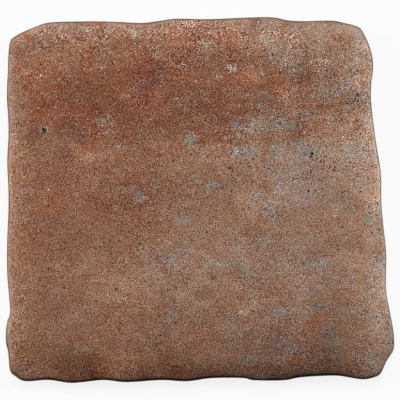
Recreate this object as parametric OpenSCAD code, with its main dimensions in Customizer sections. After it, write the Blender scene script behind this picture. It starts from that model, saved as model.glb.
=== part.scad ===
// A rustic porcelain floor tile: one pressed and fired piece, with a hand-worn rim, a face that
// rolls down to the side wall all round, and a back of shallow square pockets that key into the adhesive.
// The tile lies on its back. The origin is under the middle of its box, at the plane of the back ribs.

/* [Outline] */
// Overall width, over the widest points of the side wall
tile_w = 223; // [150:1:330]
// Overall depth, over the widest points of the side wall
tile_d = 210; // [150:1:330]
// How much shorter the back edge is than the front edge
taper = 12; // [0:1:20]
// How far the rim wanders from straight sides, where 1 is as pressed
wander = 1; // [0.5:0.1:1.3]

/* [Section] */
// Thickness at the middle of the face
thickness = 10; // [8:0.5:14]
// How far in from the rim the face starts to fall
roll_w = 12; // [6:0.5:16]
// How far the face falls between there and the side wall
roll_h = 4; // [2:0.5:5]
// How far the side wall leans in on its way up
draft = 0.6; // [0.2:0.1:1.5]
// Size of the bevel round the back
back_bevel = 1; // [0.5:0.1:1.5]

/* [Back] */
// Distance between the middles of two neighbouring ribs
rib_pitch = 18; // [14:0.5:30]
// Width of a rib
rib_w = 3; // [2:0.5:5]
// Depth of the pockets between the ribs
pocket_depth = 0.8; // [0.4:0.1:1.5]
// Least width of the plain band between the pockets and the straight sides
back_band = 12; // [10:1:20]

/* [Hidden] */
rim_steps = 3;   // points drawn for each turn of the rim
roll_steps = 8;  // rings drawn down the roll
cut_over = 1;    // how far a pocket's cutter starts below the back
clay = [0.56, 0.4, 0.31];

// Corners of the straight-sided blank that the rim wanders about
front_left = [-tile_w / 2, -tile_d / 2];
front_right = [tile_w / 2, -tile_d / 2];
back_right = [tile_w / 2 - taper, tile_d / 2];
back_left = [-tile_w / 2, tile_d / 2];

// Where the rim turns, as [share of the way along that side of the blank, how far outside it in mm].
// The sides run on from each other, anticlockwise from the front left corner.
front_turns = [
    [0.05, -1], [0.11, -1.7], [0.17, 0], [0.25, -1.6], [0.31, -0.4], [0.4, -1.6],
    [0.465, -0.9], [0.53, -2.7], [0.61, -2.8], [0.64, -1.5], [0.715, -1.5],
    [0.755, -3.1], [0.815, -4], [0.86, -4], [0.915, -2.1], [0.945, -3], [0.965, -5.4], [0.98, -12.5]
];
right_turns = [
    [0.09, 0.6], [0.12, 1.4], [0.15, 1.1], [0.205, -0.4], [0.26, -1.6], [0.355, -0.4], [0.435, -1.1],
    [0.495, -1.4], [0.565, -0.7], [0.61, -1.4], [0.685, -3], [0.77, -4], [0.82, -3.3], [0.86, -1.7],
    [0.895, -1.9], [0.925, -3.4], [0.955, -5.8], [0.975, -8.8]
];
back_turns = [
    [0.08, -3.3], [0.115, -2], [0.185, -2.3], [0.23, -1.9], [0.265, -0.4], [0.305, 0], [0.37, -0.5],
    [0.455, -1.2], [0.535, -0.9], [0.585, -2.2], [0.63, -3.3], [0.7, -2.7], [0.765, -2.4],
    [0.85, -2.7], [0.89, -3.4], [0.92, -5.6], [0.96, -9.2], [0.98, -11.8]
];
left_turns = [
    [0.065, -2.5], [0.095, -1.5], [0.145, -1.1], [0.22, -0.5], [0.275, -1.3], [0.33, -1.4], [0.395, -0.7],
    [0.46, -1.3], [0.525, -1.4], [0.605, -0.7], [0.69, -0.6], [0.755, -1.6], [0.805, -2.4],
    [0.83, -0.9], [0.855, 0], [0.89, 0], [0.915, -1.2], [0.965, -2.3], [0.982, -5.5]
];

// The turns of one side of the blank, which runs from a to b
function side(a, b, turns) =
    let (along = (b - a) / norm(b - a), out = [along.y, -along.x])
    [for (turn = turns) a + (b - a) * turn[0] + out * turn[1] * wander];

// A point of the smooth curve through a ring of points, at share t of the way from point i to the next
function on_curve(ring, i, t) =
    let (
        n = len(ring),
        a = ring[(i + n - 1) % n], b = ring[i], c = ring[(i + 1) % n], d = ring[(i + 2) % n]
    )
    b + t * (c - a) / 2 + pow(t, 2) * (2 * a - 5 * b + 4 * c - d) / 2 + pow(t, 3) * (3 * b - a - 3 * c + d) / 2;

function smoothed(ring) =
    [for (i = [0 : len(ring) - 1], k = [0 : rim_steps - 1]) on_curve(ring, i, k / rim_steps)];

// The ring moved and stretched a little, so that it measures w by d about the origin
function fitted(ring, w, d) =
    let (
        xs = [for (p = ring) p.x],
        ys = [for (p = ring) p.y],
        low = [min(xs), min(ys)],
        high = [max(xs), max(ys)],
        middle = (low + high) / 2
    )
    [for (p = ring) [(p.x - middle.x) * w / (high.x - low.x), (p.y - middle.y) * d / (high.y - low.y)]];

outline = fitted(
    smoothed(concat(
        side(front_left, front_right, front_turns),
        side(front_right, back_right, right_turns),
        side(back_right, back_left, back_turns),
        side(back_left, front_left, left_turns)
    )),
    tile_w, tile_d
);

// The section at the rim, from the back up to the face, as [how far in from the widest line, height]
wall_top = thickness - roll_h;
section = concat(
    [[back_bevel, 0], [0, back_bevel], [draft, wall_top]],
    [
        for (k = [1 : roll_steps])
            let (angle = 90 * k / roll_steps)
            [draft + roll_w * (1 - cos(angle)), wall_top + roll_h * sin(angle)]
    ]
);

// The outline drawn in towards the middle, so that each side moves in by about that much
reach = (tile_w + tile_d) / 4;
function drawn_in(inset) = outline * (1 - inset / reach);

// The whole piece before its back is pocketed: one ring of the outline for each point of the section
module blank() {
    n = len(outline);
    top = (len(section) - 1) * n;
    back_middle = len(section) * n;
    face_middle = back_middle + 1;
    points = concat(
        [for (level = section, p = drawn_in(level[0])) [p.x, p.y, level[1]]],
        [[0, 0, 0], [0, 0, thickness]]
    );
    walls = [
        for (k = [0 : len(section) - 2], i = [0 : n - 1])
            [k * n + i, (k + 1) * n + i, (k + 1) * n + (i + 1) % n, k * n + (i + 1) % n]
    ];
    caps = [
        for (i = [0 : n - 1], cap = [
            [back_middle, i, (i + 1) % n],
            [face_middle, top + (i + 1) % n, top + i]
        ]) cap
    ];
    polyhedron(points, concat(walls, caps), convexity = 4);
}

// Cutters for the pockets, as many whole ones as the plain band leaves room for
module pockets() {
    size = rib_pitch - rib_w;
    columns = floor((tile_w - taper - 2 * back_band + rib_w) / rib_pitch);
    rows = floor((tile_d - 2 * back_band + rib_w) / rib_pitch);
    start = [-taper / 2 - (columns * rib_pitch - rib_w) / 2, -(rows * rib_pitch - rib_w) / 2];
    for (column = [0 : columns - 1], row = [0 : rows - 1])
        translate([start.x + column * rib_pitch, start.y + row * rib_pitch, -cut_over])
            cube([size, size, cut_over + pocket_depth]);
}

module tile() {
    color(clay)
        difference() {
            blank();
            pockets();
        }
}

tile();
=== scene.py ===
import math

import bpy
import numpy as np
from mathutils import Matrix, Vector, noise
from mathutils.geometry import delaunay_2d_cdt


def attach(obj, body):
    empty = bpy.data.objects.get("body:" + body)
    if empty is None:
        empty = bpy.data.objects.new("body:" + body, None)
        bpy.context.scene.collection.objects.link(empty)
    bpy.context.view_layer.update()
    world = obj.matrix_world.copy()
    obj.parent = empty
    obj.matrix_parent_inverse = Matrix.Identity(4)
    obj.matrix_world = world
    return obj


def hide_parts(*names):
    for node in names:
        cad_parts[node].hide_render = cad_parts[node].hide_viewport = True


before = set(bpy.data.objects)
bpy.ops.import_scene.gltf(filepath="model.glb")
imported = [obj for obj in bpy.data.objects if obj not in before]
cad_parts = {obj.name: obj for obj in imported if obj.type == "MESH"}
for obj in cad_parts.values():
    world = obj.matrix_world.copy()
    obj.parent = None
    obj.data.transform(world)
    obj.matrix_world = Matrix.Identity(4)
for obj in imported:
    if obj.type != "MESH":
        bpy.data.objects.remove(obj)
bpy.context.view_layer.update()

# The looks of a rustic porcelain floor tile: a sandy, mottled red-brown face that rolls over a hand-worn
# rim to a bare side wall, and a bare back with pockets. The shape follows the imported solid's own rings.
# Lengths are in millimetres until a mesh, a lamp or the camera is made from them.

MM = 0.001
NODE = "tile"
SAME_HEIGHT = 1e-3        # heights this close are the same
SAME_PLACE = 1e-6         # and so are places this close, where the back is cut into triangles

# -------- sizes

SIDE_CELLS = 248          # quads along each side of the face
CURVE_STEPS = 16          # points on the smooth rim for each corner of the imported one
ROLL_RINGS = 13           # rings of vertices from the flat of the face down to the side wall
WALL_RINGS = 5            # rings down the side wall
LIP_CORNER_POINTS = 3     # points round each corner of a pocket

# Each WAVES here is the length of the waves, how many octaves they have, and which slice of the noise
FACE_UNEVENNESS = 0.12    # height of the broad unevenness of the face
FACE_WAVES = (34.0, 3, 3.7)
FACE_DENTS = 0.05         # height of its finer unevenness
DENT_WAVES = (6.0, 3, 9.1)
RIM_WEAR = 0.5            # the most that the hand-worn rim loses
RIM_WEAR_MEAN = 0.4       # the share of it that is lost on average, and how far that share swings
RIM_WEAR_SWING = 0.9
RIM_WAVES = (10.0, 4, 5.3)
FOOT_WEAR = 0.12          # the share of that wear where the tile is widest
WAVE_CLIMB = 0.7          # how far the waves move along for each millimetre of height
WAVE_FALLOFF = 0.8        # how quickly the octaves get weaker
WAVE_STEP = 2.0           # how much shorter each octave is than the one before

BEVEL_BULGE = 0.3         # how far the middle of the bevel at the back stands off its straight line
POCKET_LIP = 0.4          # how far a pocket's mouth opens out
POCKET_DRAFT = 0.25       # how far its walls lean in on their way up
LIP_RADIUS = 1.6          # of a pocket's corners, at the lip, just above it and at the floor
THROAT_RADIUS = 1.3
FLOOR_RADIUS = 1.0
THROAT_SPREAD = 0.92      # how wide the flat map draws the last two
FLOOR_SPREAD = 0.8

GLAZE_LINE = 5.2          # where the glaze ends on its way down the side wall, on average
GLAZE_LINE_WANDER = 1.6
GLAZE_LINE_WAVES = (9.0, 4, 61.0)
GLAZE_LINE_BLUR = 0.35

# -------- colours, in linear light

# The face from its greyest to its reddest: redness is the natural logarithm of red over blue
FACE_COLOURS = (
    (0.3, (0.266, 0.214, 0.178)),
    (0.5, (0.264, 0.189, 0.146)),
    (0.7, (0.251, 0.1545, 0.108)),
    (0.9, (0.242, 0.1328, 0.082)),
    (1.1, (0.222, 0.1063, 0.058)),
    (1.3, (0.212, 0.0897, 0.042)),
    (1.5, (0.197, 0.0717, 0.028)),
    (1.7, (0.184, 0.0575, 0.0195)),
    (1.9, (0.174, 0.0465, 0.0138)),
)
REDNESS_LOW, REDNESS_HIGH = FACE_COLOURS[0][0], FACE_COLOURS[-1][0]
BODY_LIGHT = (0.19, 0.115, 0.08)
BODY_DARK = (0.105, 0.062, 0.043)

# A grain is a step up or down in each colour as the eye sees it: its light to the power 1 / EYE_GAMMA
EYE_GAMMA = 2.2
GRAIN_STEP = (1.06, 1.08, 1.02)       # how large the step is in red, green and blue
GRAIN_TILT = (-0.14, -0.06, 0.05)     # what is added to that for each unit of redness
DARK_TILT = (-0.1, 0.09, 0.34)        # and what is added to it for a step down
GRAIN_LEVEL = (-0.002, 0.004, 0.012)  # a step that every place gets
DARKEST = (0.05, 0.03, 0.02)          # no step goes below this
TINT = (-0.24, 0.28, -0.24)           # how the drift of the hue acts on red, green and blue

# -------- the patterns of the glaze and the clay

# A NOISE is the size of its lumps, its detail and, if it isn't 0.5, its roughness.
# A stretch under 1 makes a pattern longer that way.
EVEN = (1.0, 1.0, 1.0)
WARP_SCALE = 1.4          # lumps to a millimetre, of what makes the specks' outlines irregular
WARP_DETAIL = 3.0
WARP_REACH = 1.1
FLAKE_NOISE = (2.4, 4.0, 0.8)
FLAKE_REACH = 2.8         # how flaky the spots are, and between which values their edge lies
FLAKE_EDGE = (0.34, 0.76)
MOTTLE_NOISE = (22.0, 4.0, 0.95)
MOTTLE_REACH = 2.0
HUE_NOISE = (5.0, 4.0, 0.9)
HUE_SHIFT = (70.0, 0.0, 0.0)  # so that it doesn't follow another noise

SAND_STRETCH = (0.9, 1.14, 1.0)
GRAIN_SIZE = 0.42
GRAIN_CONTRAST = 0.14     # from grain to grain
DOT_SIZE = 0.95
DOT_MIDDLE = 0.45
DOT_CONTRAST = -0.14      # between the middle of a larger grain and its edge
GRAIN_LAYERS = (
    # stretch, noise and contrast
    (SAND_STRETCH, (0.55, 0.0), 0.84),
    (EVEN, (26.0, 4.0, 1.0), 0.34),
    ((0.07, 1.0, 1.0), (1.6, 2.0), 0.06),
)
DRIFT_STRETCH = (0.5, 1.0, 1.0)
DRIFT_NOISE = (5.0, 3.0, 0.7)
DRIFT_RANGE = 12.0        # how much stronger the sand is in one place than in another
SAND_ON_RED = -0.3        # what redness takes from the sand
DARK_LEAN = -0.9          # how much more a dark grain stands out than a pale one
LEAN_LEVEL = 0.0155       # what keeps the mean of the grains where it is, and how salt changes that
SALT_LEVEL = -0.012

# Specks are a stretch, the size of their cells, the least radius, how much is added to it, and the blur
SALT_SPECKS = ((0.65, 1.0, 1.0), 1.3, 0.12, 0.22, 0.08)
PEPPER_SPECKS = ((0.5, 1.0, 0.9), 1.1, 0.1, 0.24, 0.1)
SALT_SHARE = 0.32         # the share of the cells with a speck, where the field is 1
PEPPER_SHARE = 0.08
GREY_PEPPER = -1.7        # more pepper where a fleck is greyer, beyond a start
GREY_START = -0.05
MARK_OUTSIDE = 1.25       # where a pit or a nib begins and is full, as shares of its radius
MARK_INSIDE = 0.7
PALE_STEP = 0.25          # what a pale and a dark speck add to the grain
DARK_STEP = -0.55

CLAY_NOISE = (4.0, 4.0)
CLAY_CONTRAST = 1.6
CLAY_GRAIN = 2.2
BARE_NOISE = (1.3, 3.0)
BARE_REACH = 1.1          # how ragged the end of the glaze is
BARE_EDGE = (0.35, 0.65)

GLAZE_ROUGHNESS = (0.44, 0.5)
ROUGH_REDNESS = 1.2       # the glaze is roughest from this redness on
GRAIN_ROUGHNESS = 0.16
BARE_ROUGHNESS = 0.18
SHINE = 0.2

RELIEF_HEIGHT = 0.04      # one unit of the relief
RELIEF_LAYERS = (((0.5, 2.0), 0.8), ((2.6, 3.0), 1.5))
GRAIN_RELIEF = -0.8
PALE_RELIEF = 0.5
DARK_RELIEF = -1.6
CLAY_RELIEF = 3.0

# -------- the mottling of the face

# How far the patches' outlines are moved about, and over what length: a coarse shift, then a finer one
BROAD_SHIFTS = ((4.0, 24.0), (2.0, 7.0))
FINE_SHIFTS = ((1.6, 6.0), (0.8, 2.4))
SHIFT_OCTAVES = 2
SHIFT_SLICES = (20.5, 40.5)  # of the noise, for the move across and the move along
# How soft a patch's edge is: the share of its half sizes by which it fades on either side of its outline
REDNESS_SOFTNESS = 0.45
BROAD_SOFTNESS = 0.7
SPOT_SOFTNESS = 0.5
FINE_SOFTNESS = 0.6

# Each patch is x, y, half width, half height and value, and a later one lies over an earlier one.
# Redness is in hundredths here, and tone in per cent.
BASE_REDNESS = 103
BROAD_REDNESS = (
    (-85, 5, 50, 85, 130), (-78, -75, 45, 32, 117), (-72, -44, 34, 13, 114), (-50, 64, 60, 28, 154),
    (12, 62, 40, 24, 145), (-60, 90, 55, 12, 133), (5, 86, 50, 12, 134), (-92, 98, 14, 8, 108),
    (-26, 71, 10, 7, 168), (-15, 38, 42, 12, 146), (-65, 10, 35, 22, 134), (-18, 29, 16, 5, 122),
    (-105, -10, 9, 60, 115), (0, 104, 120, 6, 100), (72, 72, 36, 34, 98), (98, 60, 14, 50, 88),
    (66, 50, 18, 10, 110), (57, 60, 9, 16, 122), (72, 14, 38, 20, 66), (22, 14, 20, 12, 102),
    (4, 48, 15, 16, 152), (42, 68, 8, 12, 134), (28, 33, 10, 13, 82), (5, 30, 8, 5, 95),
    (-8, 8, 18, 8, 112), (-36, 0, 8, 6, 125), (106, -10, 11, 100, 66), (8, -38, 44, 22, 92),
    (58, -38, 14, 20, 76), (88, -40, 12, 12, 94), (64, -12, 14, 8, 96), (12, -5, 12, 7, 112),
    (-30, -90, 70, 13, 120), (-68, -94, 16, 9, 142), (30, -80, 18, 16, 102), (62, -82, 22, 14, 105),
    (90, 12, 14, 14, 82), (-111, 0, 5, 100, 105), (-25, -18, 8, 6, 128),
)
# Added to the redness, not laid over it
REDNESS_NUDGES = (
    (-30, 62, 66, 28, 7), (-55, 8, 44, 28, 8), (50, 0, 44, 38, -5), (-90, 76, 20, 14, -6),
    (-30, -72, 34, 10, 6),
    # the back edge
    (-94, 99, 9, 6, -20), (-56, 100, 5, 5, 30), (-45, 100, 6, 5, -33), (0, 100, 10, 5, 16),
    (85, 98, 18, 6, -13), (70, 101, 36, 6, -13), (-105, 90, 6, 6, -18), (-65, 91, 8, 6, -34),
    (36, 90, 6, 6, -38), (95, 90, 6, 6, -19),
    # the red upper part
    (-80, 81, 10, 6, -14), (-27, 75, 14, 8, 13), (-5, 80, 7, 6, 24), (28, 81, 9, 6, 14),
    (95, 80, 7, 14, -12), (-104, 70, 12, 18, -18), (-90, 70, 9, 6, -12), (-36, 68, 6, 8, 34),
    (-30, 71, 12, 5, 14), (-25, 70, 7, 6, 60), (25, 70, 6, 5, -24), (73, 70, 13, 6, -28),
    (-35, 60, 6, 6, 50), (9, 59, 10, 7, 10), (57, 64, 7, 8, 16), (86, 60, 8, 7, 14), (-55, 50, 14, 6, 52),
    (76, 50, 14, 6, 14), (-85, 40, 5, 6, -33), (58, 41, 9, 7, 28), (55, 40, 6, 6, 31),
    # the middle
    (-65, 30, 7, 6, -30), (35, 30, 6, 6, 16), (60, 31, 9, 6, 14), (106, 30, 5, 11, -50),
    (106, 22, 6, 18, -16), (106, 13, 5, 13, -30), (-20, 10, 10, 6, 10), (-86, 1, 6, 6, -20),
    (-35, 0, 6, 6, 58), (14, 1, 13, 7, -11), (46, 0, 6, 6, -23), (85, 0, 7, 6, 17), (27, -6, 8, 8, -10),
    (56, -15, 6, 10, -13), (-98, -20, 10, 7, -13),
    # the lower part
    (-85, -35, 7, 9, -12), (25, -30, 6, 6, -35), (-46, -48, 8, 9, -17), (-58, -61, 14, 7, -12),
    (25, -60, 6, 5, -21), (56, -71, 8, 7, -25), (-105, -80, 6, 24, -12), (65, -80, 6, 6, 25),
    # the front edge
    (-66, -95, 9, 8, 30), (-46, -96, 6, 9, -14), (-17, -90, 10, 6, 14), (80, -92, 20, 6, 10),
    (-65, -100, 7, 5, 62), (-15, -100, 7, 5, 16), (-10, -100, 12, 5, 24), (15, -100, 6, 5, 18),
    (57, -101, 12, 5, 10), (72, -101, 10, 5, 18), (105, -97, 6, 8, 20),
)
FINE_REDNESS = (
    # upper right
    (36, 92, 3.5, 2, 50), (15, 95, 3, 1.5, 80), (3, 90, 3, 2, 80), (42, 84, 4, 4, 70), (48, 79, 2.5, 4, 75),
    (57, 81, 3, 2, 50), (18, 76, 3.5, 2.5, 40), (29, 76, 3, 2, 75), (10, 70, 2, 1.5, 95),
    (34, 68, 4, 2, 100), (82, 81, 3, 2, 60), (77, 62, 2, 2, 45), (86, 67, 2.5, 4, 35),
    (35, 61, 5, 1.2, 100), (41, 59, 4, 1.5, 100), (62, 50, 7, 1.2, 40), (50, 49, 9, 1.2, 80),
    (34, 54, 2.5, 1.5, 75), (47, 58, 4, 2, 85), (85, 52, 2.5, 1.5, 65), (82, 92, 5, 4, 110),
    (75, 45, 6, 4, 100),
    # the grey in the right half
    (20, 42, 3, 3, 45), (22, 46, 2, 1.5, 60), (28, 41, 5, 2, 40), (31, 44, 3, 1.5, 50),
    (36, 41, 2.5, 1.5, 40), (45, 44, 3, 1.5, 50), (49, 42, 6, 1.5, 45), (55, 43, 3, 1.5, 60),
    (16, 34, 2, 3, 55), (25, 29, 6, 2.5, 35), (20, 26, 3, 3, 50), (33, 36, 4, 2, 120), (44, 28, 4, 4, 40),
    (40, 22, 2, 8, 45), (45, 12, 3, 6, 40), (57, 32, 3, 2, 50), (63, 27, 4, 3, 35), (34, 3, 5, 3, 45),
    (-5, 35, 4, 5, 50), (-3, 30, 4, 3, 65), (-1, 11, 2.5, 2.5, 70), (6, 9, 3, 3.5, 60),
    # upper left
    (-66, 98, 3, 1.5, 65), (-38, 95, 2, 3, 65), (-52, 98, 4, 3, 85), (-28, 87, 3, 1.5, 90),
    (-11, 77, 4, 1.5, 80), (-88, 88, 3, 5, 100), (-57, 84, 5, 4, 115), (-91, 71, 1.5, 1.5, 70),
    (-82, 67, 3, 2, 90), (-64, 74, 3, 1.5, 100), (-79, 74, 3, 3, 110), (-56, 76, 4, 1.5, 115),
    (-44, 59, 3, 1.5, 115), (-20, 68, 2, 1.5, 115), (-13, 55, 5, 3, 115), (-54, 45, 6, 3, 110),
    (-52, 39, 2, 2, 95), (-57, 38, 3, 1.5, 105), (-45, 31, 4, 2, 95), (-33, 41, 3, 3, 115),
    (-8, 44, 2, 2, 105), (-89, 40, 2.5, 2.5, 35), (-107, 34, 3, 4, 80), (-26, 10, 3, 3, 90),
    (-34, 1, 5, 3, 60), (-40, 6, 4, 3, 85), (-48, 6, 5, 1.5, 95), (-108, 80, 3, 3, 60),
    (-52, 53, 5, 4, 170), (-98, 92, 3, 3, 140), (-85, -5, 8, 6, 145),
    # lower left
    (-31, -32, 2, 4, 60), (-27, -37, 3, 3, 60), (-18, -34, 5, 3.5, 60), (-9, -29, 6, 2, 55),
    (-9, -12, 4, 2.5, 55), (5, -35, 3, 5, 45), (-14, -63, 4, 4, 65), (-20, -68, 5, 2, 80),
    (0, -70, 3, 3, 60), (4, -74, 2, 2, 65), (-70, -68, 4, 3, 90), (-68, -97, 6, 4, 140),
    (-97, -30, 6, 12, 135),
    # lower right
    (37, -2, 6, 4, 55), (40, -7, 4, 3, 55), (42, -13, 2, 4, 55), (10, -15, 4, 3, 70), (37, -24, 3, 2.5, 50),
    (14, -37, 3, 3, 60), (26, -41, 3, 3, 45), (68, -36, 9, 2, 42), (75, -43, 4, 4, 70), (77, -6, 2, 3, 45),
    (97, -12, 4, 2.5, 45), (103, -36, 3, 5, 40), (97, -45, 2.5, 5, 50), (15, -72, 5, 4, 70),
    (18, -65, 3, 4, 55), (25, -68, 4, 3, 135), (42, -67, 2.5, 2, 35), (46, -63, 3, 2.5, 35),
    (52, -63, 3, 5, 70), (70, -61, 4, 3, 45), (86, -62, 7, 2.5, 50), (65, -72, 5, 4, 135),
    (73, -74, 3.5, 3, 45), (42, -79, 1.5, 1.5, 45), (46, -83, 3, 3, 50), (52, -85, 4, 3, 60),
    (77, -82, 3, 2.5, 42), (76, -88, 3, 2, 50), (91, -82, 3, 2, 55), (54, -92, 4, 3, 135),
    (25, -92, 4, 4, 70), (34, -90, 3, 3, 75), (30, -97, 5, 3, 130), (99, -74, 2.5, 4, 45),
    (99, -92, 3.5, 7, 55), (107, -80, 3, 8, 50), (90, -92, 3, 3, 80),
)
# Each works on what lies under it, so that they add up where they overlap
BROAD_TONE_AND_PAINTED_LIGHT = (
    # painted light and shade on the rim and near it, lighter along the back, the left and the right and
    # darker towards the front, and then the broad bands
    (0, -101, 130, 7, -40), (0, -90, 130, 9, -20), (45, -82, 70, 14, -18), (-20, -72, 110, 12, -4),
    (0, 98, 130, 8, 15), (10, 90, 90, 6, 6), (-106, 0, 7, 100, 20), (-111, 0, 4, 100, 10),
    (-106, 15, 5, 30, 6), (99, 0, 12, 110, 22), (105, 0, 5, 110, 16), (104, 12, 8, 60, 7),
    (72, 68, 44, 34, 6), (-55, 8, 44, 28, 3), (50, 0, 44, 38, -3),
    # the back edge
    (-95, 100, 7, 5, 15), (-76, 101, 12, 5, -15), (-65, 100, 6, 5, -21), (-30, 101, 12, 4, -14),
    (-5, 101, 6, 4, 12), (15, 101, 6, 4, -16), (35, 100, 6, 5, -36), (46, 100, 5, 5, -8),
    (56, 101, 7, 4, -24), (65, 100, 17, 5, -11), (62, 96, 14, 5, -5), (76, 101, 7, 4, -14),
    (95, 99, 6, 5, -8), (-105, 88, 6, 7, -20), (-94, 92, 8, 6, -13), (-95, 86, 6, 9, -10),
    (-65, 90, 8, 5, 11), (-35, 90, 6, 5, 11), (-10, 90, 10, 5, 20), (12, 91, 12, 5, 12),
    (38, 91, 10, 5, 16), (63, 90, 10, 5, 17), (35, 80, 36, 6, -8),
    # the red upper part
    (-82, 86, 24, 14, 12), (-85, 80, 7, 6, 15), (-32, 80, 32, 6, 12), (-5, 80, 7, 5, -10),
    (86, 80, 6, 5, 10), (-92, 76, 12, 9, 5), (-95, 70, 6, 5, 11), (-90, 68, 16, 8, 8), (-42, 69, 12, 8, 10),
    (-28, 71, 10, 6, -20), (0, 70, 11, 5, 16), (25, 70, 6, 5, 28), (55, 68, 8, 10, -20),
    (55, 71, 6, 6, -20), (75, 70, 6, 5, -21), (90, 70, 10, 6, 21), (-105, 58, 6, 13, -12),
    (-70, 60, 11, 6, -11), (-42, 60, 10, 6, 12), (-30, 54, 50, 18, -8), (7, 59, 9, 5, -10),
    (15, 60, 6, 5, 11), (30, 60, 10, 5, -10), (45, 61, 6, 5, 22), (54, 60, 16, 6, 8), (82, 60, 10, 5, -14),
    (90, 60, 11, 6, -12), (-105, 50, 6, 6, -10), (-86, 49, 6, 7, 16), (-70, 50, 44, 7, 7),
    (-60, 50, 16, 8, -10), (-5, 50, 6, 5, -9), (15, 48, 8, 5, -14), (36, 55, 9, 12, -16),
    (50, 50, 12, 5, 9), (-105, 40, 5, 6, -7), (-95, 40, 8, 7, -16), (-74, 41, 8, 6, -25),
    (-55, 40, 6, 5, 20), (-15, 40, 8, 4, -12), (-5, 40, 5, 5, 9), (55, 36, 7, 9, -16), (66, 42, 7, 12, 8),
    (76, 38, 9, 7, 18),
    # the middle
    (-80, 30, 9, 5, -14), (-64, 30, 8, 6, 32), (-35, 30, 7, 6, -10), (-20, 30, 12, 5, 15), (9, 30, 8, 5, 9),
    (15, 30, 5, 5, 12), (65, 30, 6, 5, 15), (76, 27, 7, 9, 17), (99, 35, 7, 8, 8), (92, 24, 9, 22, 12),
    (-40, 20, 60, 9, 5), (-45, 20, 6, 5, -10), (5, 20, 6, 6, -13), (35, 21, 6, 8, 17), (52, 14, 16, 9, 8),
    (-24, 10, 10, 5, -8), (-106, 0, 4, 6, 10), (-95, 0, 6, 6, -16), (-86, 0, 9, 7, 19),
    (-46, 4, 14, 9, -15), (-20, 0, 9, 5, -6), (20, 0, 9, 5, 10), (30, -3, 6, 5, 12), (70, 0, 9, 5, -6),
    (85, 0, 7, 5, -10), (95, 0, 6, 5, 27), (-50, -10, 9, 6, -8), (72, -6, 6, 5, 12), (105, -10, 6, 8, -24),
    (-72, -14, 22, 12, -6), (25, -22, 7, 8, -7), (105, -20, 5, 22, -15),
    # the lower part
    (-106, -30, 6, 18, -12), (-55, -30, 6, 5, -11), (-8, -33, 9, 10, 9), (38, -30, 9, 16, -12),
    (62, -28, 10, 7, -17), (87, -32, 8, 6, 12), (100, -30, 9, 5, -7), (106, -30, 6, 16, -14),
    (-15, -40, 6, 5, 9), (76, -40, 7, 5, -12), (88, -40, 11, 7, 10), (105, -40, 6, 10, 8),
    (-62, -46, 32, 11, 17), (-85, -50, 6, 5, -9), (-65, -50, 6, 5, -11), (5, -50, 6, 5, -17),
    (30, -50, 10, 5, -6), (65, -50, 7, 5, -12), (-92, -60, 18, 6, -8), (-80, -60, 10, 6, -10),
    (-42, -60, 12, 5, 14), (25, -60, 6, 5, 14), (66, -60, 18, 8, -14), (75, -61, 7, 5, -10),
    (105, -60, 5, 6, -7), (-65, -72, 7, 7, -16), (-24, -72, 8, 7, -10), (16, -65, 18, 9, -10),
    (35, -75, 8, 7, -5), (78, -72, 9, 6, -16), (95, -70, 6, 5, -9), (-92, -80, 20, 6, -6),
    (25, -80, 6, 5, -9), (38, -80, 9, 5, -8), (70, -80, 10, 6, -13),
    # the front edge
    (-100, -84, 9, 24, 8), (-105, -90, 5, 5, 10), (-71, -92, 15, 8, -21), (-70, -90, 9, 6, -18),
    (-42, -96, 9, 10, 25), (-50, -94, 9, 9, 15), (-56, -91, 5, 5, 20), (-15, -90, 6, 6, -20),
    (20, -90, 10, 5, 8), (45, -90, 14, 5, -6), (75, -88, 12, 10, -14), (69, -90, 10, 6, -22),
    (105, -96, 6, 9, -15), (98, -100, 10, 6, 25), (105, -100, 5, 5, -9), (-105, -101, 6, 4, -18),
    (-90, -100, 9, 4, 15), (-78, -100, 26, 8, 10), (-72, -101, 28, 4, 40), (-60, -101, 11, 4, 45),
    (-65, -97, 6, 6, 16), (-45, -101, 5, 4, -20), (-25, -101, 6, 4, 38), (-14, -101, 6, 4, 34),
    (30, -101, 10, 4, 34), (50, -100, 10, 5, -26), (80, -101, 10, 4, 24),
)
FINE_TONE = (
    (18, 76, 3, 2.5, 20), (52, 27, 8, 5, 8), (-12, 76, 4, 1.5, 20), (25, 70, 3, 2, 15), (42, 84, 4, 4, 10),
    (-44, 60, 3, 1.5, 15), (14, 95, 4, 2, 15), (68, -61, 3, 2, -25), (46, -84, 3, 3, -20),
    (7, -45, 2, 1, -30), (28, 2, 4, 2, 10), (77, -9, 2, 2, 10), (66, -60, 2, 1, -20), (60, 24, 4, 2, -8),
    (64, 15, 5, 1.5, -8),
)
# How strongly redness comes and goes from lump to lump
BASE_MOTTLE = 1.0
BROAD_MOTTLE = (
    (-85, 0, 60, 70, 0.48), (-70, -70, 50, 40, 0.6), (-40, 65, 90, 32, 1.25), (70, 70, 50, 40, 1.45),
    (-30, 67, 20, 13, 0.8),
)
# How much darker the greyer flecks are
BASE_DULLING = 0.24
BROAD_DULLING = (
    (60, -20, 70, 80, 0.37), (0, -85, 60, 25, 0.4), (-80, 0, 40, 60, 0.15), (-40, 65, 80, 30, 0.2),
)
BASE_SAND = 1.06
BROAD_SAND = (
    (-20, 68, 90, 30, 1.04), (65, 72, 45, 34, 1.4), (55, 20, 30, 22, 0.98), (107, 0, 7, 100, 0.85),
    (-75, -60, 50, 45, 0.95), (88, 82, 14, 12, 1.1), (0, 60, 50, 12, 1.28), (15, 79, 45, 12, 1.35),
    (58, 79, 14, 12, 1.6), (0, 99, 14, 9, 1.35), (40, 42, 14, 8, 1.35), (82, 20, 12, 10, 1.2),
    (68, 101, 32, 9, 0.8), (-100, 60, 16, 30, 0.95), (-45, 2, 34, 11, 1.25), (-106, -30, 8, 30, 0.85),
    (30, -30, 24, 18, 1.22), (30, -84, 66, 22, 1.2),
)
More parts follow.
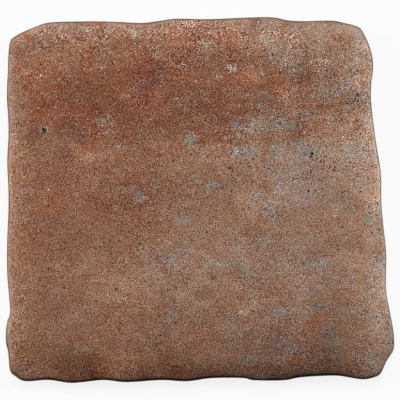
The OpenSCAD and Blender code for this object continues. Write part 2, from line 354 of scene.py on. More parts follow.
# How much stronger or weaker the sand is on top of that, in per cent
SAND_NUDGES = (
    (-20, 42, 62, 12, 22), (-50, 22, 40, 12, 14), (50, 50, 20, 7, 15), (72, 99, 20, 8, -25),
    (84, 88, 10, 12, -18), (-107, 18, 6, 26, -14), (-107, -82, 6, 26, -22), (96, 0, 6, 22, -25),
    (98, -55, 8, 48, -18), (108, -60, 5, 30, -20), (-20, -98, 36, 9, -18), (18, -30, 9, 6, -14),
    (18, 24, 8, 8, -12), (45, -62, 9, 6, -18), (-62, -42, 9, 7, -12), (-45, 85, 30, 14, 10),
    (5, 88, 22, 8, 10), (108, 60, 5, 30, 8), (98, 68, 6, 14, -15), (-65, -100, 8, 6, 20),
    (-85, 20, 8, 20, 12),
)
BASE_SALT = 0.05
SALT = (
    (-20, 60, 110, 30, 0.45), (0, 86, 120, 16, 0.55), (105, 0, 7, 100, 0.3), (-28, 87, 4, 3, 1.0),
    (18, 77, 4, 2, 0.5), (31, 44, 5, 3, 1.1), (16, 88, 5, 3, 0.8), (2, 91, 4, 2, 0.8), (-24, 58, 3, 3, 1.0),
    (42, 53, 3, 4, 1.0), (49, 78, 4, 4, 1.05), (-82, 86, 5, 3, 1.0), (-95, 82, 4, 3, 1.0),
    (-90, 71, 2, 2, 1.1), (55, 85, 5, 3, 1.0), (68, 78, 4, 3, 1.0), (4, 69, 6, 2, 0.9),
    (-11, 53, 3, 3, 0.9), (35, 60, 4, 2, 0.9), (-81, 67, 3, 2, 1.3), (-54, 42, 5, 4, 0.9),
    (-30, 42, 3, 3, 0.9), (77, -9, 2, 2, 1.0), (57, 68, 3, 3, 0.9), (-60, 42, 13, 8, 0.8),
    (-48, 2, 24, 8, 0.4), (-54, 83, 4, 3, 0.9),
)
BASE_PEPPER = 0.3
PEPPER = (
    (-45, 60, 60, 22, 0.08), (0, 92, 100, 10, 0.4), (65, 20, 35, 40, 1.4), (60, 80, 30, 14, 1.3),
    (105, 0, 6, 100, 4.0), (57, 84, 5, 4, 5), (32, 41, 4, 2, 8), (7, -45, 3, 2, 8), (65, 26, 6, 3, 9),
    (70, 22, 5, 3, 7), (83, 5, 4, 3, 7), (62, 5, 7, 1.5, 7), (25, 31, 3, 3, 6), (94, 18, 3, 3, 7),
    (45, 47, 2, 6, 6), (-28, -49, 3, 2, 6), (85, 63, 3, 3, 6), (76, 62, 3, 3, 6), (46, -44, 3, 3, 5),
    (57, -41, 4, 2, 5), (-70, 12, 3, 3, 5), (39, -25, 3, 3, 5), (70, 73, 4, 3, 5), (71, 42, 4, 2, 5),
    (68, -1, 4, 1.5, 6), (89, 20, 3, 3, 6), (35, 6, 4, 3, 5), (38, -42, 3, 2, 5), (81, 25, 4, 3, 5),
    (-48, -50, 3, 2, 5), (96, -71, 3, 4, 6), (9, -17, 4, 4, 5), (16, 86, 4, 2, 5), (71, -62, 3, 2, 5),
    (64, 8, 8, 1.5, 5), (26, 38, 3, 2, 5),
)
# Each mark is x, y and radius
PITS = (
    (-89, 40, 1.2), (-48, -51, 0.7), (-59, -58, 0.6), (-14, -70, 0.7), (64, 26.5, 1.0), (67, 24, 0.6),
    (69, 22, 0.7), (62, 5, 0.6), (66, 5.5, 0.6), (77, 62, 0.6), (57, 77, 0.6), (7, -45, 0.7), (83, 5, 0.6),
)
# Pale nibs, and a painted highlight beside the pit at (-89, 40)
NIBS_AND_GLINT = ((-91, 71, 0.8), (-88, 41.5, 0.5), (77, -9, 0.7), (30, 76, 0.5))
PAINTED_EDGE_SHADE = (
    # axis, where the painted shade on the lower edge begins and is full along it, and how deep it is
    (1, -95, -99, 0.42), (1, 93, 97, 0.05), (0, 97, 101, 0.05),
)
EDGE_SHADE_TOP = 7.8          # the heights between which that painted shade sets in
EDGE_SHADE_FOOT = 6.9
MATT_TOP = 8.1            # the glaze loses its shine from here down, on to the foot of the roll
MATT_FOOT = 7.2
PAINTED_SHEEN_TONE = 0.06          # painted sheen: how much lighter, and less red, the glaze is painted where its shine is lost
PAINTED_SHEEN_REDNESS = -22
MATT_CALM = 0.5           # how much of the sand, the salt and their contrast is gone where it is matt
WALL_TOP = 7.3            # painted shade: the side wall's glaze is darker, from here down
WALL_FOOT = 6.2
WALL_PAINTED_SHADE = -0.2
EDGE_PEPPERS = (
    # axis, from where along it and below what height dark specks lie on the rim, and how thick
    (1, 97, 7.4, 4.5), (0, 96, 7.6, 7.0),
)

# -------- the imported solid's rings


def packed_corners():
    """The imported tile's corners in millimetres, each once."""
    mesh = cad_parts[NODE].data
    places = np.empty(len(mesh.vertices) * 3, np.float32)
    mesh.vertices.foreach_get("co", places)
    return np.unique(np.round(places.reshape(-1, 3) / MM, 3), axis=0)


def at_height(height):
    return corners[np.abs(corners[:, 2] - height) < SAME_HEIGHT]


def half_width(height):
    return np.abs(at_height(height)[:, 0]).max()


corners = packed_corners()
heights = np.unique(corners[:, 2])
back_height, pocket_height, wide_height, wall_height = heights[:4]
face_height = heights[-1]
widest = half_width(wide_height)
back_scale = half_width(back_height) / widest
wall_scale = half_width(wall_height) / widest
face_scale = half_width(face_height) / widest


def widest_ring():
    """The corners where the tile is widest, anticlockwise about its middle."""
    ring = at_height(wide_height)[:, :2]
    return ring[np.argsort(np.arctan2(ring[:, 1], ring[:, 0]))]


def smooth_ring(ring, steps):
    """The smooth closed curve through a ring's points, with this many points for each of them."""
    before, after, beyond = (np.roll(ring, shift, axis=0) for shift in (1, -1, -2))
    t = (np.arange(steps) / steps)[:, None, None]
    curve = (
        ring
        + t * (after - before) / 2
        + t**2 * (2 * before - 5 * ring + 4 * after - beyond) / 2
        + t**3 * (3 * ring - before - 3 * after + beyond) / 2
    )
    return curve.transpose(1, 0, 2).reshape(-1, 2)


def evenly(curve, count):
    """Points spaced evenly along an open curve, count steps from one end to the other."""
    along = np.concatenate([[0], np.cumsum(np.linalg.norm(np.diff(curve, axis=0), axis=1))])
    wanted = np.linspace(0, along[-1], count + 1)
    return np.stack([np.interp(wanted, along, curve[:, axis]) for axis in (0, 1)], 1)


def rim_sides():
    """The rim's front, right, back and left sides, anticlockwise, each with both its corners."""
    curve = smooth_ring(widest_ring(), CURVE_STEPS)
    at = [int(np.argmax(curve @ np.array(way))) for way in ((-1, -1), (1, -1), (1, 1), (-1, 1))]
    sides = []
    for first, last in zip(at, at[1:] + at[:1]):
        end = last + (len(curve) if last < first else 0)
        sides.append(evenly(curve[np.arange(first, end + 1) % len(curve)], SIDE_CELLS))
    return sides


# -------- the shape


def face_grid(sides):
    """A grid of points that fills the ring of four sides, rows from front to back."""
    front, right, back, left = sides[0], sides[1], sides[2][::-1], sides[3][::-1]
    share = np.linspace(0, 1, len(front))
    u, v = share[None, :, None], share[:, None, None]
    lengthwise = (1 - v) * front[None] + v * back[None]
    crosswise = (1 - u) * left[:, None] + u * right[:, None]
    corner_blend = (
        (1 - u) * (1 - v) * front[0] + u * (1 - v) * front[-1] + u * v * back[-1] + (1 - u) * v * back[0]
    )
    return lengthwise + crosswise - corner_blend


def section():
    """The rings below the face's edge: scale of the rim, height, and which way is outward and upward."""
    rings = []
    drop, run = face_height - wall_height, widest * (wall_scale - face_scale)
    for angle in np.linspace(math.pi / 2, 0, ROLL_RINGS + 1)[1:]:
        scale = face_scale + (wall_scale - face_scale) * math.cos(angle)
        out, up = math.cos(angle) / run, math.sin(angle) / drop
        size = math.hypot(out, up)
        rings.append([scale, wall_height + drop * math.sin(angle), out / size, up / size])
    for share in np.linspace(0, 1, WALL_RINGS + 1)[1:]:
        scale = wall_scale + (1 - wall_scale) * share
        rings.append([scale, wall_height + (wide_height - wall_height) * share, 1, 0])
    middle = (wide_height + back_height) / 2 - BEVEL_BULGE
    rings.append([(1 + back_scale) / 2 + BEVEL_BULGE / 2 / widest, middle, 0, 0])
    rings.append([back_scale, back_height, 0, 0])
    return np.array(rings)


def unevenness(places, length, octaves, layer):
    """Smooth unevenness from about -1 to 1 at each place, with waves of about this length."""
    return np.array(
        [
            noise.fractal(Vector((x / length, y / length, layer)), WAVE_FALLOFF, WAVE_STEP, octaves)
            for x, y in places
        ]
    )


def build_top(sides):
    """The face, its roll and the side wall: places, flat map, quads, and the loop at the bottom."""
    grid = face_grid([side * face_scale for side in sides])
    rows = len(grid)
    index = np.arange(rows * rows).reshape(rows, rows)
    loop = np.concatenate([index[0, :-1], index[:-1, -1], index[-1, :0:-1], index[:0:-1, 0]])
    flat = grid.reshape(-1, 2)
    places = [np.column_stack([flat, np.full(len(flat), face_height)])]
    flat_map = [flat]
    pushes = [np.tile([0.0, 0.0, 1.0], (len(flat), 1))]
    quads = [np.stack([index[:-1, :-1], index[:-1, 1:], index[1:, 1:], index[1:, :-1]], -1).reshape(-1, 4)]
    rim = np.concatenate([side[:-1] for side in sides])
    outward = rim / np.linalg.norm(rim, axis=1)[:, None]
    count, travelled, last = len(flat), 0.0, (face_scale, face_height)
    for scale, height, out, up in section():
        ring = np.arange(count, count + len(rim))
        travelled += math.hypot((scale - last[0]) * widest, height - last[1])
        last = (scale, height)
        places.append(np.column_stack([rim * scale, np.full(len(rim), height)]))
        flat_map.append(rim * (face_scale + travelled / widest))
        pushes.append(np.column_stack([outward * out, np.full(len(rim), up)]))
        quads.append(np.stack([loop, ring, np.roll(ring, -1), np.roll(loop, -1)], 1))
        loop = ring
        count += len(rim)
    places, pushes = np.concatenate(places), np.concatenate(pushes)
    places -= pushes * worn_away(places, len(flat))[:, None]
    return places, np.concatenate(flat_map), np.concatenate(quads), loop


def worn_away(places, plateau_count):
    """How much is gone from the tile's blank at each place, 0 at the highest place of the face."""
    points = places[:, :2] + places[:, 2:] * WAVE_CLIMB
    waves = FACE_UNEVENNESS * unevenness(points, *FACE_WAVES)
    dents = FACE_DENTS * unevenness(points, *DENT_WAVES)
    lost = np.maximum(waves + dents - (waves + dents)[:plateau_count].min(), 0)
    wear = np.clip(RIM_WEAR_MEAN + RIM_WEAR_SWING * unevenness(points, *RIM_WAVES), 0, 1)
    share = np.interp(places[:, 2], [wide_height, wall_height, face_height], [FOOT_WEAR, 1, 0])
    share[:plateau_count] = 0
    below = np.interp(places[:, 2], [wide_height, wall_height], [FOOT_WEAR, 1])
    return lost * below + RIM_WEAR * wear * share


def pocket_edges(axis):
    """The low and the high edge of each row of pockets along an axis."""
    return np.unique(at_height(pocket_height)[:, axis]).reshape(-1, 2)


def rounded_square(middle, half, radius):
    """A rectangle with rounded corners, anticlockwise."""
    arcs = []
    for turn, way in enumerate(((1, 1), (-1, 1), (-1, -1), (1, -1))):
        angles = np.linspace(0, math.pi / 2, LIP_CORNER_POINTS) + turn * math.pi / 2
        arc = radius * np.column_stack([np.cos(angles), np.sin(angles)])
        arcs.append(middle + np.array(way) * (half - radius) + arc)
    return np.concatenate(arcs)


def build_back(places, loop):
    """The band, ribs and pockets that close the bottom: new places, their flat map, and faces."""
    count = len(places)
    mouths, new, flat_map, faces = [], [], [], []
    # How far each ring of a pocket grows, its height, its radius and how wide the flat map draws it
    steps = (
        (POCKET_LIP, back_height, LIP_RADIUS, 1.0),
        (0.0, back_height + POCKET_LIP / 2, THROAT_RADIUS, THROAT_SPREAD),
        (-POCKET_DRAFT, pocket_height, FLOOR_RADIUS, FLOOR_SPREAD),
    )
    for low_x, high_x in pocket_edges(0):
        for low_y, high_y in pocket_edges(1):
            middle = np.array([low_x + high_x, low_y + high_y]) / 2
            half = np.array([high_x - low_x, high_y - low_y]) / 2
            rings = []
            for grow, height, radius, spread in steps:
                square = rounded_square(middle, half + grow, radius)
                rings.append(np.arange(count, count + len(square)))
                new.append(np.column_stack([square, np.full(len(square), height)]))
                flat_map.append(middle + (square - middle) * spread)
                count += len(square)
            for outer, inner in zip(rings, rings[1:]):
                faces.extend(np.stack([outer, inner, np.roll(inner, -1), np.roll(outer, -1)], 1).tolist())
            faces.append(rings[-1][::-1].tolist())
            mouths.append(rings[0])
    places = np.concatenate([places, *new])
    faces.extend(rib_faces(places, loop, mouths))
    return places, np.concatenate(flat_map), faces


def rib_faces(places, loop, mouths):
    """Triangles between the loop and the mouths of the pockets, facing down."""
    rings = [loop, *mouths]
    known = np.concatenate(rings)
    starts = np.cumsum([0] + [len(ring) for ring in rings])
    outlines = [list(range(first, last)) for first, last in zip(starts, starts[1:])]
    points = [Vector(place) for place in places[known, :2]]
    # 1 asks for triangles that stay within the outlines
    found = delaunay_2d_cdt(points, [], outlines, 1, SAME_PLACE)
    triangles, sources, within = found[2], found[3], found[5]
    return [
        [int(known[sources[i][0]]) for i in reversed(triangle)]
        for triangle, owners in zip(triangles, within)
        if list(owners) == [0]
    ]


# -------- the colours of the mesh


def ragged(places, shifts):
    """Places moved about by smooth noise."""
    moved = places.copy()
    for layer, (reach, length) in enumerate(shifts):
        for axis, start in enumerate(SHIFT_SLICES):
            moved[:, axis] += reach * unevenness(places, length, SHIFT_OCTAVES, start + layer)
    return moved


def rise(values, low, high):
    """Smoothly from 0 at low to 1 at high."""
    share = np.clip((values - low) / (high - low), 0, 1)
    return share**2 * (3 - 2 * share)


def covered(places, x, y, half_wide, half_high, softness):
    """How much of a soft-edged round patch lies over each place, from 0 to 1."""
    reach = np.hypot((places[:, 0] - x) / half_wide, (places[:, 1] - y) / half_high)
    return rise(reach, 1 + softness, 1 - softness)


def paint(field, places, patches, softness):
    """Lays patches one after the other over the values that the places already have."""
    for *patch, value in patches:
        field = field + (value - field) * covered(places, *patch, softness)
    return field


def shade(field, places, patches, softness):
    """Raises or lowers the values by the per cents of all the patches that lie there."""
    for *patch, value in patches:
        field = field * (1 + value / 100 * covered(places, *patch, softness))
    return field


def nudge(field, places, patches, softness):
    """Adds the values of all the patches that lie there."""
    for *patch, value in patches:
        field = field + value * covered(places, *patch, softness)
    return field


def spots(field, places, patches, softness):
    """The value of the topmost patch at each place, and how much it covers there."""
    value, cover = field.copy(), np.zeros(len(places))
    for *patch, patch_value in patches:
        patch_cover = covered(places, *patch, softness)
        on_top = (patch_cover > 0.5) | (patch_cover > cover)
        value[on_top] = patch_value
        cover = np.maximum(cover, patch_cover)
    return value, cover


def mottling(places):
    """Everything that the material reads at each place, by the name of its attribute."""
    flat = places[:, :2]
    broad = ragged(flat, BROAD_SHIFTS)
    fine = ragged(flat, FINE_SHIFTS)
    redness = paint(BASE_REDNESS, broad, BROAD_REDNESS, REDNESS_SOFTNESS)
    redness = nudge(redness, broad, REDNESS_NUDGES, BROAD_SOFTNESS)
    spot_redness, spot_cover = spots(redness, fine, FINE_REDNESS, SPOT_SOFTNESS)
    # The tone holds painted light and shade on the rim besides the glaze's own lighter and darker patches
    tone = shade(shade(1.0, broad, BROAD_TONE_AND_PAINTED_LIGHT, BROAD_SOFTNESS), fine, FINE_TONE, FINE_SOFTNESS)
    matt = rise(places[:, 2], MATT_TOP, MATT_FOOT)
    # Painted sheen: the glaze is painted lighter and less red where it has lost its shine
    redness = redness + PAINTED_SHEEN_REDNESS * matt
    # Painted shade darkens the side wall's glaze, on top of the painted sheen
    tone = tone * (1 + PAINTED_SHEEN_TONE * matt) * (1 + WALL_PAINTED_SHADE * rise(places[:, 2], WALL_TOP, WALL_FOOT))
    calm = 1 - MATT_CALM * matt
    # Painted shade darkens the lower edge, most of all at the front
    for axis, begins, full, depth in PAINTED_EDGE_SHADE:
        shaded = rise(flat[:, axis], begins, full) * rise(places[:, 2], EDGE_SHADE_TOP, EDGE_SHADE_FOOT)
        tone = tone * (1 - depth * shaded)
    pepper = paint(BASE_PEPPER, fine, PEPPER, FINE_SOFTNESS)
    for axis, begins, top, value in EDGE_PEPPERS:
        pepper[(flat[:, axis] > begins) & (places[:, 2] < top)] = value
    salt = paint(BASE_SALT, fine, SALT, FINE_SOFTNESS)
    sand = paint(BASE_SAND, broad, BROAD_SAND, BROAD_SOFTNESS)
    sand = shade(sand, broad, SAND_NUDGES, BROAD_SOFTNESS)
    border = GLAZE_LINE + GLAZE_LINE_WANDER * unevenness(flat, *GLAZE_LINE_WAVES)
    return {
        "redness": redness / 100,
        "spot_redness": spot_redness / 100,
        "spot_cover": spot_cover,
        "tone": tone,
        "mottle": paint(BASE_MOTTLE, broad, BROAD_MOTTLE, BROAD_SOFTNESS),
        "sand": sand * calm,
        "salt": salt * calm,
        "pepper": pepper,
        "dulling": paint(BASE_DULLING, broad, BROAD_DULLING, BROAD_SOFTNESS),
        "bare": 1 / (1 + np.exp((places[:, 2] - border) / GLAZE_LINE_BLUR)),
        "matt": matt,
    }


# -------- the material


class Nodes:
    """Adds nodes to a material or a world, and links or sets their inputs."""

    def __init__(self, owner):
        self.tree = owner.node_tree
        self.tree.nodes.clear()

    def add(self, kind, inputs=(), **settings):
        made = self.tree.nodes.new("ShaderNode" + kind)
        for name, value in settings.items():
            setattr(made, name, value)
        for name, value in dict(inputs).items():
            self.put(made.inputs[name], value)
        return made

    def put(self, socket, value):
        if isinstance(value, bpy.types.NodeSocket):
            self.tree.links.new(value, socket)
        else:
            socket.default_value = value

    def math(self, operation, *values, clamp=False):
        made = self.add("Math", dict(enumerate(values)), operation=operation, use_clamp=clamp)
        return made.outputs[0]

    def times(self, first, second):
        return self.math("MULTIPLY", first, second)

    def times_plus(self, first, second, third, clamp=False):
        """The first times the second, and the third added to it."""
        return self.math("MULTIPLY_ADD", first, second, third, clamp=clamp)

    def minus(self, first, second):
        return self.math("SUBTRACT", first, second)

    def vector(self, operation, *values):
        made = self.add("VectorMath", dict(enumerate(values)), operation=operation)
        return made.outputs["Value" if operation == "DISTANCE" else "Vector"]

    def attribute(self, name):
        return self.add("Attribute", attribute_name=name).outputs["Fac"]

    def mix(self, share, first, second):
        """A mix of two colours: sockets 6 and 7 are a Mix node's colours."""
        return self.add("Mix", {0: share, 6: first, 7: second}, data_type="RGBA").outputs[2]

    def rescale(self, value, low, high, new_low=0.0, new_high=1.0, kind="SMOOTHSTEP"):
        inputs = {0: value, 1: low, 2: high, 3: new_low, 4: new_high}
        return self.add("MapRange", inputs, interpolation_type=kind).outputs[0]

    def scaled(self, vector, share):
        return self.add("VectorMath", {0: vector, "Scale": share}, operation="SCALE").outputs[0]

    def lighten(self, shade, step, balance):
        """A colour made lighter or darker by a step, as the eye sees it, with this balance of the colours."""
        seen = self.add("Gamma", {"Color": shade, "Gamma": 1 / EYE_GAMMA}).outputs[0]
        moved = self.vector("MULTIPLY_ADD", step, balance, self.vector("ADD", seen, GRAIN_LEVEL))
        moved = self.vector("MULTIPLY_ADD", self.math("MINIMUM", step, 0.0), DARK_TILT, moved)
        moved = self.vector("MAXIMUM", moved, DARKEST)
        return self.add("Gamma", {"Color": moved, "Gamma": EYE_GAMMA}).outputs[0]

    def noise(self, place, size, detail=2.0, roughness=0.5):
        """Soft noise about 0, with lumps of about this size in millimetres."""
        inputs = {"Vector": place, "Scale": 1 / size, "Detail": detail, "Roughness": roughness}
        return self.minus(self.add("TexNoise", inputs).outputs[0], 0.5)

    def cells(self, place, size):
        """Random cells of about this size: the distance to the middle, and a random number for each."""
        made = self.add("TexVoronoi", {"Vector": place, "Scale": 1 / size})
        split = self.add("SeparateColor", {0: made.outputs["Color"]})
        return made.outputs["Distance"], split.outputs[0], split.outputs[1]


def new_nodes(owner):
    """The nodes of a new material or world."""
    owner.use_nodes = True
    return Nodes(owner)


def add_object(name, data):
    made = bpy.data.objects.new(name, data)
    bpy.context.scene.collection.objects.link(made)
    return made


def colour(values):
    return (*values, 1.0)


def colour_ramp(nodes, value, stops):
    made = nodes.add("ValToRGB", {0: value})
    elements = made.color_ramp.elements
    while len(elements) < len(stops):
        elements.new(0.5)
    for element, (at, values) in zip(elements, stops):
        element.position = (at - REDNESS_LOW) / (REDNESS_HIGH - REDNESS_LOW)
        element.color = colour(values)
    return made.outputs[0]


def glaze_redness(nodes, place):
    """How red the glaze is with its spots and its mottling, and how far that is above the broad field."""
    flakes = nodes.times_plus(nodes.noise(place, *FLAKE_NOISE), FLAKE_REACH, nodes.attribute("spot_cover"))
    spotted = nodes.rescale(flakes, *FLAKE_EDGE)
    broad = nodes.attribute("redness")
    painted = nodes.times_plus(nodes.minus(nodes.attribute("spot_redness"), broad), spotted, broad)
    mottle = nodes.times(nodes.attribute("mottle"), nodes.noise(place, *MOTTLE_NOISE))
    redness = nodes.math("MINIMUM", nodes.times_plus(mottle, MOTTLE_REACH, painted), REDNESS_HIGH)
    return redness, nodes.minus(redness, broad)


def sand_grain(nodes, place, sand_place, fine_redness, salt, grain_random):
    """How much lighter or darker each grain of sand looks."""
    grain = nodes.times(nodes.minus(grain_random, 0.5), GRAIN_CONTRAST)
    dot_middle = nodes.cells(sand_place, DOT_SIZE)[0]
    grain = nodes.times_plus(nodes.minus(dot_middle, DOT_MIDDLE), DOT_CONTRAST, grain)
    for stretch, pattern, contrast in GRAIN_LAYERS:
        layer = nodes.noise(nodes.vector("MULTIPLY", place, stretch), *pattern)
        grain = nodes.times_plus(layer, contrast, grain)
    drift = nodes.noise(nodes.vector("MULTIPLY", place, DRIFT_STRETCH), *DRIFT_NOISE)
    strength = nodes.times(nodes.attribute("sand"), nodes.math("POWER", DRIFT_RANGE, drift))
    strength = nodes.times(strength, nodes.times_plus(fine_redness, SAND_ON_RED, 1.0))
    grain = nodes.times(grain, strength)
    # The dark grains are the stronger ones, but where the glaze is salted the pale ones are
    lean = nodes.math("ADD", salt, DARK_LEAN)
    level = nodes.times_plus(salt, SALT_LEVEL, LEAN_LEVEL)
    return nodes.times_plus(grain, nodes.times_plus(grain, lean, 1.0), level)


def specks(nodes, warped, share, stretch, size, least, spread, blur):
    """Specks in this share of the cells: 1 on a speck and 0 beside it."""
    middle, random, other = nodes.cells(nodes.vector("MULTIPLY", warped, stretch), size)
    radius = nodes.times_plus(other, spread, least)
    speck = nodes.rescale(nodes.minus(radius, middle), -blur, blur)
    return nodes.times(speck, nodes.math("LESS_THAN", random, share))


def with_marks(nodes, field, warped, marks):
    """The field with round marks, 1 in their middle, laid over it."""
    shift = WARP_REACH / 2
    for x, y, radius in marks:
        away = nodes.vector("DISTANCE", warped, (x + shift, y + shift, face_height))
        mark = nodes.rescale(away, radius * MARK_OUTSIDE, radius * MARK_INSIDE)
        field = nodes.math("MAXIMUM", field, mark)
    return field


def glaze_colour(nodes, place, redness, fine_redness, dulling, grain):
    """The glaze from its redness and its grain, with the painted tone, painted light and shade among it, and
    a drift of the hue.
    """
    position = nodes.rescale(redness, REDNESS_LOW, REDNESS_HIGH, kind="LINEAR")
    glaze = colour_ramp(nodes, position, FACE_COLOURS)
    glaze = nodes.lighten(glaze, grain, nodes.vector("MULTIPLY_ADD", redness, GRAIN_TILT, GRAIN_STEP))
    # The greyer flecks are the darker ones
    tone = nodes.times(nodes.attribute("tone"), nodes.times_plus(fine_redness, dulling, 1.0))
    hue = nodes.noise(nodes.vector("ADD", place, HUE_SHIFT), *HUE_NOISE)
    return nodes.vector("MULTIPLY", nodes.scaled(glaze, tone), nodes.vector("MULTIPLY_ADD", hue, TINT, EVEN))


def clay_colour(nodes, lumps, grain_random):
    """The coarse brown clay of the bare body."""
    clay = nodes.mix(
        nodes.times_plus(lumps, CLAY_CONTRAST, 0.5, clamp=True), colour(BODY_DARK), colour(BODY_LIGHT)
    )
    return nodes.scaled(clay, nodes.math("POWER", CLAY_GRAIN, nodes.minus(grain_random, 0.5)))


def relief(nodes, place, grain_middle, pale, dark, bare_lumps):
    """The bump of the sand, the specks and the clay."""
    height = nodes.times(grain_middle, GRAIN_RELIEF)
    for pattern, strength in RELIEF_LAYERS:
        height = nodes.times_plus(nodes.noise(place, *pattern), strength, height)
    for field, strength in ((pale, PALE_RELIEF), (dark, DARK_RELIEF), (bare_lumps, CLAY_RELIEF)):
        height = nodes.times_plus(field, strength, height)
    return nodes.add("Bump", {"Height": height, "Distance": RELIEF_HEIGHT * MM}).outputs[0]


def porcelain():
    """Sandy mottled glaze over a rough brown body."""
    material = bpy.data.materials.new("rustic_porcelain")
    nodes = new_nodes(material)
    place = nodes.scaled(nodes.add("TexCoord").outputs["Object"], 1 / MM)
    warp_inputs = {"Vector": place, "Scale": WARP_SCALE, "Detail": WARP_DETAIL}
    warp = nodes.add("TexNoise", warp_inputs).outputs["Color"]
    warped = nodes.vector("MULTIPLY_ADD", warp, [WARP_REACH] * 3, place)

    redness, fine_redness = glaze_redness(nodes, place)
    dulling = nodes.attribute("dulling")
    salt = nodes.attribute("salt")
    sand_place = nodes.vector("MULTIPLY", place, SAND_STRETCH)
    grain_middle, grain_random, grain_other = nodes.cells(sand_place, GRAIN_SIZE)
    grain = sand_grain(nodes, place, sand_place, fine_redness, salt, grain_random)

    # Pale specks where the glaze is salted, dark ones where it is peppered or greyer than about it
    pale = specks(nodes, warped, nodes.times(salt, SALT_SHARE), *SALT_SPECKS)
    pale = with_marks(nodes, pale, warped, NIBS_AND_GLINT)
    greyed = nodes.times_plus(nodes.times(fine_redness, dulling), GREY_PEPPER, GREY_START, clamp=True)
    peppered = nodes.times_plus(nodes.attribute("pepper"), PEPPER_SHARE, greyed)
    dark = specks(nodes, warped, peppered, *PEPPER_SPECKS)
    dark = with_marks(nodes, dark, warped, PITS)
    grain = nodes.times_plus(dark, DARK_STEP, nodes.times_plus(pale, PALE_STEP, grain))

    lumps = nodes.noise(place, *CLAY_NOISE)
    ragged_bare = nodes.times_plus(nodes.noise(place, *BARE_NOISE), BARE_REACH, nodes.attribute("bare"))
    bare = nodes.rescale(ragged_bare, *BARE_EDGE)
    glaze = glaze_colour(nodes, place, redness, fine_redness, dulling, grain)
    surface = nodes.mix(bare, glaze, clay_colour(nodes, lumps, grain_random))

    rough = nodes.rescale(redness, REDNESS_LOW, ROUGH_REDNESS, *GLAZE_ROUGHNESS)
    rough = nodes.times_plus(nodes.minus(grain_other, 0.5), GRAIN_ROUGHNESS, rough)
    rough = nodes.math("ADD", rough, nodes.times(bare, BARE_ROUGHNESS), clamp=True)
    bump = relief(nodes, place, grain_middle, pale, dark, nodes.times(lumps, bare))
    shine = nodes.times_plus(nodes.attribute("matt"), -SHINE, SHINE)
    shader = nodes.add(
        "BsdfPrincipled",
        {"Base Color": surface, "Roughness": rough, "Normal": bump, "Specular IOR Level": shine},
    )
    nodes.add("OutputMaterial", {"Surface": shader.outputs[0]})
    return material


# -------- the piece

MAP_MARGIN = 4.0          # clear pixels round the bake map's islands, of its MAP_PIXELS
MAP_PIXELS = 1024
FACE_PIXELS_PER_MM = 3.65
BACK_PIXELS_PER_MM = 0.92


def bake_map(face_map, back_map, back_loops, loop_vertices):
    """The face and its walls laid out as one island, and the back smaller below it."""
    face_low, back_low = face_map.min(0), back_map.min(0)
    back_size = (back_map - back_low) * BACK_PIXELS_PER_MM
    up = MAP_MARGIN * 2 + back_size[:, 1].max()
    face_pixels = (face_map - face_low) * FACE_PIXELS_PER_MM + [MAP_MARGIN, up]
    back_pixels = back_size + MAP_MARGIN
    chosen = np.where(back_loops[:, None], back_pixels[loop_vertices], face_pixels[loop_vertices])
    return chosen / MAP_PIXELS


def build_tile():
    top, face_map, quads, loop = build_top(rim_sides())
    places, pocket_map, back_faces = build_back(top, loop)
    faces = quads.tolist() + back_faces
    mesh = bpy.data.meshes.new("porcelain_tile")
    mesh.from_pydata((places * MM).tolist(), [], faces)
    mesh.validate()
    is_back = np.arange(len(faces)) >= len(quads)
    mesh.polygons.foreach_set("use_smooth", ~is_back)
    for name, values in mottling(places).items():
        mesh.attributes.new(name, "FLOAT", "POINT").data.foreach_set("value", values)

    loop_vertices = np.empty(len(mesh.loops), np.int32)
    mesh.loops.foreach_get("vertex_index", loop_vertices)
    sizes = np.empty(len(mesh.polygons), np.int32)
    mesh.polygons.foreach_get("loop_total", sizes)
    back_map = np.concatenate([np.zeros((len(top), 2)), pocket_map])
    back_map[loop] = top[loop, :2]
    face_map = np.concatenate([face_map, np.zeros((len(pocket_map), 2))])
    layer = mesh.uv_layers.new(name="OFBake")
    uv = bake_map(face_map, back_map, np.repeat(is_back, sizes), loop_vertices)
    layer.data.foreach_set("uv", uv.ravel())

    mesh.materials.append(porcelain())
    tile = add_object("porcelain_tile", mesh)
    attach(tile, "root")
    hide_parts(NODE)


# -------- floor, light and camera

FLOOR_HALF = 4.0          # metres
FLOOR_WHITE = 0.82        # what the camera sees of the floor, apart from its glow
FLOOR_GREY = 0.35         # what the tile's walls see of it
FLOOR_GLOW = 0.86         # how much of the floor's white is its own, for the camera

SUNS = (
    # name, direction the light comes from (degrees from +X), elevation, share of the light, angular size,
    # and whether the glaze mirrors it: the low ones would blind a view from the side
    ("back", 90, 48.0, 0.55, 30, True),
    ("left", 167, 11.7, 0.21, 22, False),
    ("right", 13, 11.7, 0.21, 22, False),
)
SKY = 0.04                # the light of the sky, which looks white all the same
LENS = 300.0
SENSOR = 36.0
VIEW_WIDTH = 229.52       # the width that the camera sees at VIEW_HEIGHT
VIEW_HEIGHT = 1.0


def seen_plainly(nodes):
    """1 for what the camera sees, mirrored or through glass too, and 0 for what lights the tile."""
    path = nodes.add("LightPath").outputs
    seen = nodes.math("MAXIMUM", path["Is Camera Ray"], path["Is Glossy Ray"])
    return nodes.math("MAXIMUM", seen, path["Is Transmission Ray"])


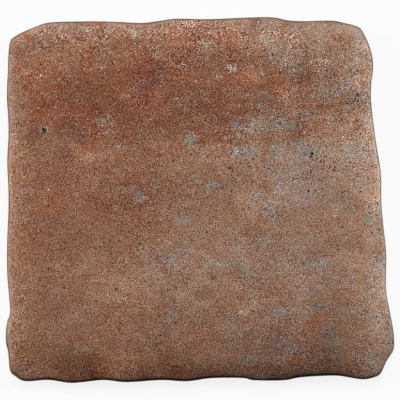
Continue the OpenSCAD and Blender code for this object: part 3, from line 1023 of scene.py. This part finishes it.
def floor_material():
    material = bpy.data.materials.new("studio_floor")
    nodes = new_nodes(material)
    seen = seen_plainly(nodes)
    white = nodes.add("Emission")
    grey = nodes.mix(seen, colour([FLOOR_GREY] * 3), colour([FLOOR_WHITE] * 3))
    matt = nodes.add("BsdfDiffuse", {"Color": grey})
    share = nodes.times(seen, FLOOR_GLOW)
    both = nodes.add("MixShader", {0: share, 1: matt.outputs[0], 2: white.outputs[0]})
    nodes.add("OutputMaterial", {"Surface": both.outputs[0]})
    return material


def build_floor():
    mesh = bpy.data.meshes.new("floor")
    square = [(x * FLOOR_HALF, y * FLOOR_HALF, 0) for x, y in ((-1, -1), (1, -1), (1, 1), (-1, 1))]
    mesh.from_pydata(square, [], [(0, 1, 2, 3)])
    mesh.materials.append(floor_material())
    floor = add_object("floor", mesh)


def build_lights():
    for name, turn, elevation, share, size, mirrored in SUNS:
        lamp = bpy.data.lights.new(name, "SUN")
        lamp.angle = math.radians(size)
        bearing, steepness = math.radians(turn), math.radians(elevation)
        level, up = math.cos(steepness), math.sin(steepness)
        lamp.energy = share * math.pi / up
        sun = add_object(name, lamp)
        sun.visible_glossy = mirrored
        toward = Vector((level * math.cos(bearing), level * math.sin(bearing), up))
        sun.rotation_euler = toward.to_track_quat("Z", "Y").to_euler()


def build_world():
    world = bpy.data.worlds.new("studio")
    bpy.context.scene.world = world
    nodes = new_nodes(world)
    strength = nodes.rescale(seen_plainly(nodes), 0.0, 1.0, SKY, 1.0, kind="LINEAR")
    sky = nodes.add("Background", {"Strength": strength, "Color": colour(EVEN)})
    nodes.add("OutputWorld", {"Surface": sky.outputs[0]})


def build_camera():
    """Straight above the tile, as in the photograph."""
    lens = bpy.data.cameras.new("camera")
    lens.lens = LENS
    lens.sensor_width = SENSOR
    camera = add_object("camera", lens)
    camera.location.z = (VIEW_WIDTH * LENS / SENSOR + VIEW_HEIGHT) * MM
    bpy.context.scene.camera = camera


build_tile()
build_floor()
build_lights()
build_world()
build_camera()
bpy.context.scene.view_settings.view_transform = "Standard"

bpy.context.view_layer.update()
